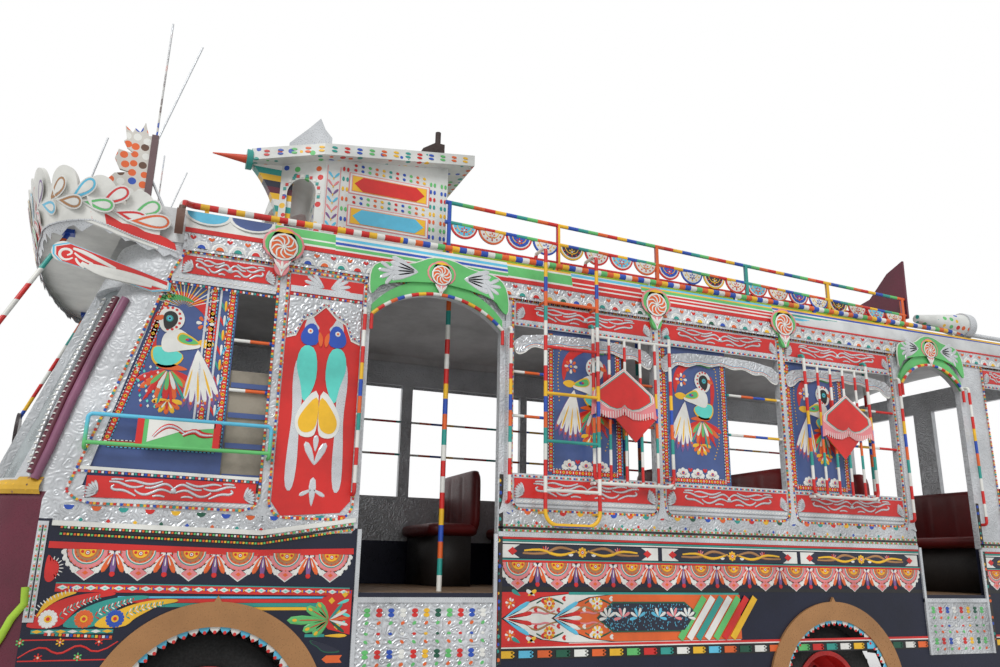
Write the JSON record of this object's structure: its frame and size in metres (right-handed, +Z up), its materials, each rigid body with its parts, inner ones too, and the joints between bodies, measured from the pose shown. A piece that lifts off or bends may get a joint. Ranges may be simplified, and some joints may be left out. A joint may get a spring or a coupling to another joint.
{
  "type": "decorated passenger bus",
  "caption": "Truck-based passenger bus with painted sides, raked front, roof turret, crown, roof fence, ladder, two open doorways and twin rear wheels.",
  "frame": {"origin": "on the ground below the middle of the whole bus", "axes": "+X forward, +Y to the left side with the doorways, +Z up"},
  "size_m": [8.47, 2.748, 4.7],
  "materials": {
    "chassis_paint": "satin, dusty",
    "spring_steel": "dull",
    "engine_iron": "dull",
    "tank_paint": "satin",
    "exhaust_steel": "dull",
    "tyre": "matt",
    "wheel_paint": "gloss",
    "floor_wood": "worn",
    "body_paint": "gloss, hand painted",
    "cowl_paint": "gloss",
    "roof_paint": "satin",
    "glass": "clear",
    "board_paint": "gloss, hand painted",
    "bar_paint": "gloss, banded",
    "seat_cover": "satin",
    "dash_paint": "satin",
    "wheel_plastic": "satin",
    "lamp_chrome": "polished",
    "mirror_paint": "satin",
    "crown_paint": "gloss, hand painted",
    "turret_paint": "gloss, hand painted",
    "fence_paint": "gloss, hand painted",
    "crest_paint": "gloss, hand painted",
    "gold_paint": "satin"
  },
  "bodies": {
    "coach": {"chassis_frame": "chassis_paint", "front_axle": "chassis_paint", "rear_axle": "chassis_paint", "leaf_springs": "spring_steel", "engine": "engine_iron", "propeller_shaft": "spring_steel", "fuel_tank": "tank_paint", "exhaust": "exhaust_steel", "floor": "floor_wood", "side_wall_left": "body_paint", "side_wall_right": "body_paint", "front_wall": "cowl_paint", "rear_wall": "body_paint", "roof": "roof_paint", "windscreen": "glass", "window_panels": "board_paint", "window_bars": "bar_paint", "passenger_seats": "seat_cover", "driver_seat": "seat_cover", "dashboard": "dash_paint", "steering_wheel": "wheel_plastic", "grab_poles": "bar_paint", "bumpers": "chassis_paint", "lamps": "lamp_chrome", "mirrors": "mirror_paint", "crown": "crown_paint", "crown_wings": "crown_paint", "roof_turret": "turret_paint", "roof_rails": "bar_paint", "roof_fence": "fence_paint", "roof_ladder": "bar_paint", "window_guards": "bar_paint", "side_crests": "crest_paint", "arch_mouldings": "gold_paint"},
    "wheel_body_front_left": {"tyre_front_left": "tyre", "wheel_front_left": "wheel_paint"},
    "wheel_body_front_right": {"tyre_front_right": "tyre", "wheel_front_right": "wheel_paint"},
    "wheel_body_rear_left": {"tyres_rear_left": "tyre", "wheels_rear_left": "wheel_paint"},
    "wheel_body_rear_right": {"tyres_rear_right": "tyre", "wheels_rear_right": "wheel_paint"},
    "knuckle_body_left": {"knuckle_left": "chassis_paint"},
    "knuckle_body_right": {"knuckle_right": "chassis_paint"},
    "drivers_door_body": {"drivers_door": "body_paint"}
  },
  "joints": [
    {"name": "steer_left", "type": "hinge", "parent": "coach", "child": "knuckle_body_left", "pos_m": [2.795, 0.79, 0.462], "axis": [0, 0, 1], "range_deg": [-32, 32]},
    {"name": "steer_right", "type": "hinge", "parent": "coach", "child": "knuckle_body_right", "pos_m": [2.795, -0.79, 0.462], "axis": [0, 0, 1], "range_deg": [-32, 32]},
    {"name": "front_left_wheel_spin", "type": "hinge", "parent": "knuckle_body_left", "child": "wheel_body_front_left", "pos_m": [2.795, 0.93, 0.462], "axis": [0, 1, 0], "continuous": true},
    {"name": "front_right_wheel_spin", "type": "hinge", "parent": "knuckle_body_right", "child": "wheel_body_front_right", "pos_m": [2.795, -0.93, 0.462], "axis": [0, 1, 0], "continuous": true},
    {"name": "rear_left_wheels_spin", "type": "hinge", "parent": "coach", "child": "wheel_body_rear_left", "pos_m": [-1.545, 0.87, 0.462], "axis": [0, 1, 0], "continuous": true},
    {"name": "rear_right_wheels_spin", "type": "hinge", "parent": "coach", "child": "wheel_body_rear_right", "pos_m": [-1.545, -0.87, 0.462], "axis": [0, 1, 0], "continuous": true},
    {"name": "drivers_door_swing", "type": "hinge", "parent": "coach", "child": "drivers_door_body", "pos_m": [3.236, -1.216, 2.02], "axis": [0, 0, 1], "range_deg": [0, 70]}
  ],
  "couplings": [
    {"joint": "steer_right", "follows": "steer_left", "ratio": 1}
  ]
}
